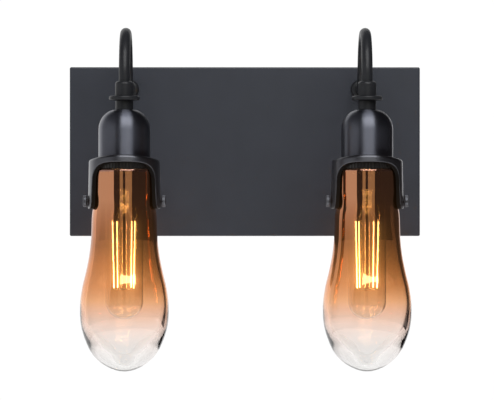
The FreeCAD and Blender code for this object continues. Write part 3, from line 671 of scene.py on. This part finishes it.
def follow_rule(piece, tree, numbers):
    """Runs a Geometry Nodes tree on a piece once, and keeps the result as its plain mesh."""
    modifier = piece.modifiers.new(tree.name, "NODES")
    modifier.node_group = tree
    values = {**numbers, "Finish": piece.data.materials[0]}
    for socket in tree.interface.items_tree:
        if socket.in_out == "INPUT" and socket.name in values:
            modifier[socket.identifier] = values[socket.name]
    evaluated = piece.evaluated_get(bpy.context.evaluated_depsgraph_get())
    shaped = bpy.data.meshes.new_from_object(evaluated)
    piece.modifiers.remove(modifier)
    piece.data = shaped
    mesh = bmesh.new()
    mesh.from_mesh(shaped)
    round_off(mesh)
    mesh.to_mesh(shaped)
    mesh.free()


def joined_piece(name, pieces):
    """One object made of several finished ones in one finish."""
    mesh = bmesh.new()
    finish = pieces[0].data.materials[0]
    for piece in pieces:
        mesh.from_mesh(piece.data)
        bpy.data.objects.remove(piece)
    return new_piece(name, mesh, [finish])


def lamp_axis(side_name):
    """The move that takes a piece from the Z axis to a lamp's axis."""
    low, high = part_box(f"{side_name}_socket_cup")
    middle = (low + high) / 2
    return Matrix.Translation((middle.x, middle.y, 0.0))


def glass_side(start, neck_radius, belly_radius, top, length, upper_shares, belly_share, lower_shares):
    """Curve down one side of the glass, from a start on its neck over the belly to the axis."""
    swell = belly_radius - neck_radius
    points = [start]
    for down_share, swell_share in upper_shares:
        points.append((neck_radius + swell * swell_share, top - length * down_share))
    points.append((belly_radius, top - length * belly_share))
    for down_share, radius_share in lower_shares:
        points.append((belly_radius * radius_share, top - length * down_share))
    points.append((0.0, top - length))
    return smooth_line(points, (0.0, -1.0), (-1.0, 0.0))


def groove_line(middle_height):
    """Upper half of the soft groove that the thumbscrews' pads sit in, down to its deepest point."""
    line = []
    for step in range(groove_steps):
        angle = math.pi * step / groove_steps
        dip = groove_depth * (1 - math.cos(angle)) / 2
        line.append((glass_neck_radius - dip, middle_height + groove_half_width * (1 - angle / math.pi)))
    return line


def glass_outside(top, length):
    """Outer side of the glass, from its rounded rim down to the axis."""
    rim_height = top - glass_rim_rounding
    rim = arc_line((glass_neck_radius - glass_rim_rounding, rim_height), glass_rim_rounding, 90, 0)
    rim.append((glass_neck_radius, rim_height - edge_guard))
    groove_bottom = (glass_neck_radius - groove_depth, top - groove_drop)
    side = glass_side(
        groove_bottom, glass_neck_radius, glass_belly_radius, top, length,
        neck_to_belly_shares, belly_down_share, belly_to_foot_shares)
    return rim + groove_line(top - groove_drop) + side


def glass_inside(top, length):
    """Inner side of the glass, from the axis up to its rounded rim."""
    neck_radius = glass_neck_radius - glass_wall
    rim_height = top - glass_rim_rounding
    rim = arc_line((neck_radius + glass_rim_rounding, rim_height), glass_rim_rounding, 180, 90)
    rim.insert(0, (neck_radius, rim_height - edge_guard))
    neck_end = (neck_radius, top - (groove_drop + groove_half_width))
    side = glass_side(
        neck_end, neck_radius, glass_belly_radius - glass_belly_wall, top, length - glass_base,
        inner_to_belly_shares, inner_belly_down_share, inner_to_foot_shares)
    return list(reversed(side)) + rim


def glass_shade(side_name, materials):
    """Heavy blown glass: a film on the outside, clear glass within, and a thick foot."""
    node = f"{side_name}_glass_shade"
    low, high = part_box(node)
    inside = glass_inside(high.z, high.z - low.z)
    outside = glass_outside(high.z, high.z - low.z)
    finish_of_runs = [1] * len(inside) + [0] * (len(outside) - 1)
    mesh = bmesh.new()
    add_turned(
        mesh, inside + outside, glass_turn_steps, lamp_axis(side_name), finish_of_runs=finish_of_runs)
    piece = new_piece(
        f"{side_name}_glass_body", mesh, [materials["copper_glass"], materials["inner_glass"]])
    stand_for(piece, node)


def bulb_line(lip, neck, radius, rim, top, bottom):
    """Side of the bulb's glass, from its lip down to the axis."""
    shoulder_top = rim - bulb_neck_length
    shoulder_middle = shoulder_top - bulb_shoulder / 2
    middle_radius = (neck + radius) / 2
    shoulder = smooth_line(
        [(neck, shoulder_top), (middle_radius, shoulder_middle), (radius, shoulder_top - bulb_shoulder)],
        (0.0, -1.0), (0.0, -1.0))
    lip_bottom = rim - bulb_lip_height / 4
    return (
        [(lip, top), (lip, lip_bottom), (neck, lip_bottom - bulb_lip_height)]
        + shoulder
        + [(radius, shoulder_top - bulb_shoulder - edge_guard), (radius, bottom + radius + edge_guard)]
        + arc_line((0.0, bottom + radius), radius, 0, -90, bulb_tip_steps)
    )


def bulb_envelope(side_name, materials):
    """Thin tubular glass of the bulb."""
    node = f"{side_name}_bulb_glass"
    low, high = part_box(node)
    rim = high.z - bulb_lip_height
    outer = bulb_line(bulb_lip_radius, bulb_neck_radius, bulb_radius, rim, high.z, low.z)
    inner = bulb_line(
        bulb_lip_radius - bulb_wall, bulb_neck_radius - bulb_wall, bulb_radius - bulb_wall,
        rim, high.z, low.z + bulb_wall)
    line = list(reversed(inner)) + outer
    piece = turned_piece(f"{side_name}_bulb_envelope", line, bulb_turn_steps, materials["bulb_clear"])
    piece.data.transform(lamp_axis(side_name))
    stand_for(piece, node)


def filament_line(length):
    """Side of one filament, with a bare metal tab at each end."""
    lit_start = filament_tab_length
    lit_end = length - filament_tab_length
    return [
        (0.0, 0.0),
        (filament_tab_radius, 0.0),
        (filament_tab_radius, lit_start),
        (filament_radius, lit_start + filament_radius / 2),
        (filament_radius, lit_end - filament_radius / 2),
        (filament_tab_radius, lit_end),
        (filament_tab_radius, length),
        (0.0, length),
    ]


def filaments(side_name, materials):
    """Four lit filaments, each a little splayed. The runs of their tabs have the second finish."""
    node = f"{side_name}_bulb_filaments"
    low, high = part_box(node)
    mesh = bmesh.new()
    for bearing in filament_bearings:
        angle = math.radians(bearing)
        outward = Vector((math.cos(angle), math.sin(angle), 0.0))
        foot = outward * filament_foot_spread + Vector((0.0, 0.0, low.z))
        top = outward * filament_top_spread + Vector((0.0, 0.0, high.z))
        run = top - foot
        place = Matrix.Translation(foot) @ run.to_track_quat("Z", "Y").to_matrix().to_4x4()
        add_turned(
            mesh, filament_line(run.length), filament_turn_steps, place,
            finish_of_runs=[1, 1, 0, 0, 0, 1, 1])
    piece = new_piece(
        f"{side_name}_lit_filaments", mesh, [materials["filament_glow"], materials["wire_steel"]])
    piece.data.transform(lamp_axis(side_name))
    stand_for(piece, node)


def bulb_screw_base(side_name, materials, thread):
    """Rolled brass base of the bulb, with a true helical thread."""
    node = f"{side_name}_bulb_base"
    low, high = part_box(node)
    bore = base_crest_radius - base_thread_depth - base_wall
    outside = upright_line(base_crest_radius, low.z, high.z, base_thread_pitch / steps_per_thread)
    line = [(bore, high.z), (bore, low.z)] + outside
    piece = turned_piece(
        f"{side_name}_threaded_base", line, bulb_turn_steps, materials["bulb_brass"], closed=True)
    follow_rule(piece, thread, {
        "Pitch": base_thread_pitch, "Depth": base_thread_depth, "Crest Radius": base_crest_radius,
        "Low": low.z, "High": high.z})
    piece.data.transform(lamp_axis(side_name))
    stand_for(piece, node)


def socket_nipple(side_name, materials, thread):
    """Threaded tube that hangs the socket from the arm."""
    node = f"{side_name}_socket_nipple"
    low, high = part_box(node)
    radius = (high.x - low.x) / 2
    outside = upright_line(radius, low.z, high.z, nipple_thread_pitch / steps_per_thread)
    line = [(nipple_bore, high.z), (nipple_bore, low.z)] + outside
    piece = turned_piece(
        f"{side_name}_threaded_nipple", line, small_turn_steps, materials["zinc_plate"], closed=True)
    follow_rule(piece, thread, {
        "Pitch": nipple_thread_pitch, "Depth": nipple_thread_depth, "Crest Radius": radius,
        "Low": low.z, "High": high.z})
    piece.data.transform(lamp_axis(side_name))
    stand_for(piece, node)


def serrated_ring(side_name, materials, flutes):
    """Black ring with upright serrations that clamps the fork."""
    node = f"{side_name}_shade_ring"
    low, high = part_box(node)
    radius = (high.x - low.x) / 2
    inward = radius - ring_rounding
    line = (
        [(radius - ring_width, high.z), (radius - ring_width, low.z)]
        + arc_line((inward, low.z + ring_rounding), ring_rounding, -90, 0)
        + arc_line((inward, high.z - ring_rounding), ring_rounding, 0, 90)
    )
    steps = ring_tooth_count * steps_per_flute
    piece = turned_piece(f"{side_name}_serrated_ring", line, steps, materials["ring_resin"], closed=True)
    follow_rule(piece, flutes, {
        "Count": ring_tooth_count, "Depth": ring_tooth_depth, "Land Share": flute_land_share,
        "Core Radius": radius - 2 * ring_rounding})
    piece.data.transform(lamp_axis(side_name))
    stand_for(piece, node)


def screw_head(length, materials, flutes):
    """Knurled head of a thumbscrew with a dished face, on the Z axis."""
    under_head = length - screw_head_thickness
    rim_radius = screw_head_radius - screw_head_rounding
    dish_height = length - screw_head_dish
    line = (
        [(0.0, under_head)]
        + arc_line((rim_radius, under_head + screw_head_rounding), screw_head_rounding, -90, 0)
        + arc_line((rim_radius, length - screw_head_rounding), screw_head_rounding, 0, 90)
        + [(rim_radius - 2 * screw_head_dish, dish_height), (0.0, dish_height)]
    )
    head = turned_piece("head", line, screw_flute_count * steps_per_flute, materials["screw_paint"])
    follow_rule(head, flutes, {
        "Count": screw_flute_count, "Depth": screw_flute_depth, "Land Share": flute_land_share,
        "Core Radius": rim_radius + screw_head_dish})
    return head


def screw_shank(length, materials, thread):
    """Threaded shank of a thumbscrew with a hole for its pad, up into the head, on the Z axis."""
    under_head = length - screw_head_thickness
    line = (
        [(0.0, pad_hole_depth), (pad_hole_radius, pad_hole_depth), (pad_hole_radius, 0.0)]
        + upright_line(screw_radius, 0.0, under_head + edge_guard, screw_thread_pitch / steps_per_thread)
        + [(0.0, under_head + edge_guard)]
    )
    shank = turned_piece("shank", line, small_turn_steps, materials["screw_paint"])
    follow_rule(shank, thread, {
        "Pitch": screw_thread_pitch, "Depth": screw_thread_depth, "Crest Radius": screw_radius,
        "Low": 0.0, "High": under_head})
    return shank


def thumbscrew(side_name, place_name, out, materials, flutes, thread):
    """Knurled thumbscrew through one arm of a fork. Out is 1 where its head is on the right, else -1."""
    node = f"{side_name}_{place_name}_thumbscrew"
    low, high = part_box(node)
    length = high.x - low.x
    head = screw_head(length, materials, flutes)
    shank = screw_shank(length, materials, thread)
    piece = joined_piece(f"{side_name}_{place_name}_knurled_screw", [head, shank])
    nose = low.x if out > 0 else high.x
    middle = (low + high) / 2
    turn = Matrix.Rotation(math.radians(90 * out), 4, "Y")
    piece.data.transform(Matrix.Translation((nose, middle.y, middle.z)) @ turn)
    stand_for(piece, node)


def paint_nodes(materials):
    """Gives each CAD node the material of its slot."""
    for node, slot in slots.items():
        mesh = frame["nodes"][node].data
        mesh.materials.clear()
        mesh.materials.append(materials[slot])


def smooth_copy(node):
    """A merged copy of a CAD node with smooth curved faces, which stands for the node."""
    source = frame["nodes"][node]
    mesh = bmesh.new()
    mesh.from_mesh(source.data)
    bmesh.ops.remove_doubles(mesh, verts=mesh.verts, dist=merge_distance)
    piece = new_piece(f"{node}_smooth", mesh, [source.data.materials[0]])
    evening = piece.modifiers.new("evening", "WEIGHTED_NORMAL")
    evening.keep_sharp = True
    evaluated = piece.evaluated_get(bpy.context.evaluated_depsgraph_get())
    evened = bpy.data.meshes.new_from_object(evaluated)
    piece.modifiers.remove(evening)
    piece.data = evened
    stand_for(piece, node)


def paint_fork_shade(side_name, materials):
    """Paints the inner and cut faces of a fork near black, as painted shade."""
    low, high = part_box(f"{side_name}_yoke")
    middle = (low + high) / 2
    mesh = bpy.data.objects[f"{side_name}_yoke_smooth"].data
    mesh.materials.append(materials["painted_shade_black"])
    # Painted shade: faces turned inward or cut across get the near-black paint
    for face in mesh.polygons:
        outward = Vector((face.center.x - middle.x, face.center.y - middle.y, 0.0)).normalized()
        if face.normal.dot(outward) < shade_outward_share and face.normal.z < shade_upward_share:
            face.material_index = 1


def smooth_other_nodes():
    """Smooth copies of the CAD nodes that the scene has no pieces of its own for."""
    for node in slots:
        if not node.endswith(remade_nodes):
            smooth_copy(node)


def add_camera():
    """Level camera at the photo's distance and height."""
    data = bpy.data.cameras.new("photo_camera")
    data.lens = camera_lens
    data.sensor_width = camera_sensor
    data.clip_start = camera_nearest
    camera = bpy.data.objects.new("photo_camera", data)
    camera.location = camera_place
    camera.rotation_euler = (math.radians(90), 0.0, math.radians(camera_turn))
    bpy.context.scene.collection.objects.link(camera)
    bpy.context.scene.camera = camera


def add_panel(name, bearing, lift, distance, size, radiance, tint=white):
    """A soft light panel that faces the lamps, so many degrees left of the camera and above the level."""
    width, height = size
    data = bpy.data.lights.new(name, "AREA")
    data.shape = "RECTANGLE"
    data.size = width
    data.size_y = height
    data.energy = radiance * math.pi * width * height
    data.color = tint
    panel = bpy.data.objects.new(name, data)
    turn = Matrix.Rotation(math.radians(-bearing), 4, "Z") @ Matrix.Rotation(math.radians(-lift), 4, "X")
    direction = turn @ Vector((0.0, -1.0, 0.0))
    panel.location = Vector(panel_aim) + direction * distance
    panel.rotation_euler = direction.to_track_quat("Z", "Y").to_euler()
    panel.visible_camera = False
    bpy.context.scene.collection.objects.link(panel)


def add_lights():
    """A wide panel on the left, a high one in front, and a pair of dim windows beside the camera."""
    add_panel("left_panel", bearing=78.0, lift=4.0, distance=1.7, size=(2.8, 1.7), radiance=0.6)
    add_panel("high_panel", bearing=-10.0, lift=46.0, distance=1.8, size=(1.5, 1.5), radiance=4.6)
    for name, bearing, width in (("left_window", 11.5, 0.42), ("right_window", -15.0, 0.94)):
        add_panel(
            name, bearing, lift=3.5, distance=2.2, size=(width, 1.9), radiance=0.33, tint=window_tint)


def add_world():
    """White sweep behind, to the left and below, dim elsewhere. The camera itself sees plain white."""
    world = bpy.data.worlds.new("studio")
    world.use_nodes = True
    bpy.context.scene.world = world
    tree = world.node_tree
    tree.nodes.clear()
    direction = add_node(tree, "ShaderNodeTexCoord").outputs["Generated"]
    middle = (-math.sin(sweep_bearing), math.cos(sweep_bearing), 0.0)
    nearness = add_node(tree, "ShaderNodeVectorMath", {0: direction, 1: middle}, operation="DOT_PRODUCT")
    behind = spread(
        tree, nearness.outputs["Value"], 0.0, 1.0, math.cos(sweep_half_width + sweep_softness),
        math.cos(sweep_half_width - sweep_softness))
    height = add_node(tree, "ShaderNodeSeparateXYZ", {"Vector": direction}).outputs["Z"]
    below = spread(tree, height, 1.0, 0.0, sweep_below_end, sweep_below_start)
    level = figure(tree, "MAXIMUM", behind, below)
    dome = ramp(tree, level, [(0.0, room_dimness), (1.0, white)])
    seen = add_node(tree, "ShaderNodeLightPath").outputs["Is Camera Ray"]
    mixed = add_node(tree, "ShaderNodeMix", {0: seen, 6: dome, 7: (*white, 1.0)}, data_type="RGBA")
    background = add_node(
        tree, "ShaderNodeBackground", {"Color": mixed.outputs[2], "Strength": sweep_brightness})
    output = add_node(tree, "ShaderNodeOutputWorld")
    tree.links.new(background.outputs["Background"], output.inputs["Surface"])


def add_floor():
    """Pale round floor, well below the lamps."""
    mesh = bmesh.new()
    add_turned(mesh, [(0.0, floor_height), (floor_radius, floor_height)], floor_turn_steps)
    new_piece("floor", mesh, [floor_matt()])


def add_bloom():
    """A faint glow round the lit filaments."""
    scene = bpy.context.scene
    scene.use_nodes = True
    tree = scene.node_tree
    tree.nodes.clear()
    layers = add_node(tree, "CompositorNodeRLayers")
    glow = add_node(
        tree, "CompositorNodeGlare",
        {"Image": layers.outputs["Image"], "Threshold": 1.2, "Strength": 1.0, "Size": 0.5},
        glare_type="BLOOM", quality="HIGH")
    add_node(tree, "CompositorNodeComposite", {"Image": glow.outputs["Image"]})


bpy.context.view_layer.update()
bpy.context.scene.view_settings.view_transform = "Standard"
materials = finishes()
paint_nodes(materials)
flutes = flute_rule()
thread = thread_rule()
smooth_other_nodes()
for side_name, side in (("left", -1), ("right", 1)):
    paint_fork_shade(side_name, materials)
    glass_shade(side_name, materials)
    bulb_envelope(side_name, materials)
    filaments(side_name, materials)
    bulb_screw_base(side_name, materials, thread)
    socket_nipple(side_name, materials, thread)
    serrated_ring(side_name, materials, flutes)
    thumbscrew(side_name, "outer", side, materials, flutes, thread)
    thumbscrew(side_name, "inner", -side, materials, flutes, thread)
add_camera()
add_lights()
add_world()
add_floor()
add_bloom()
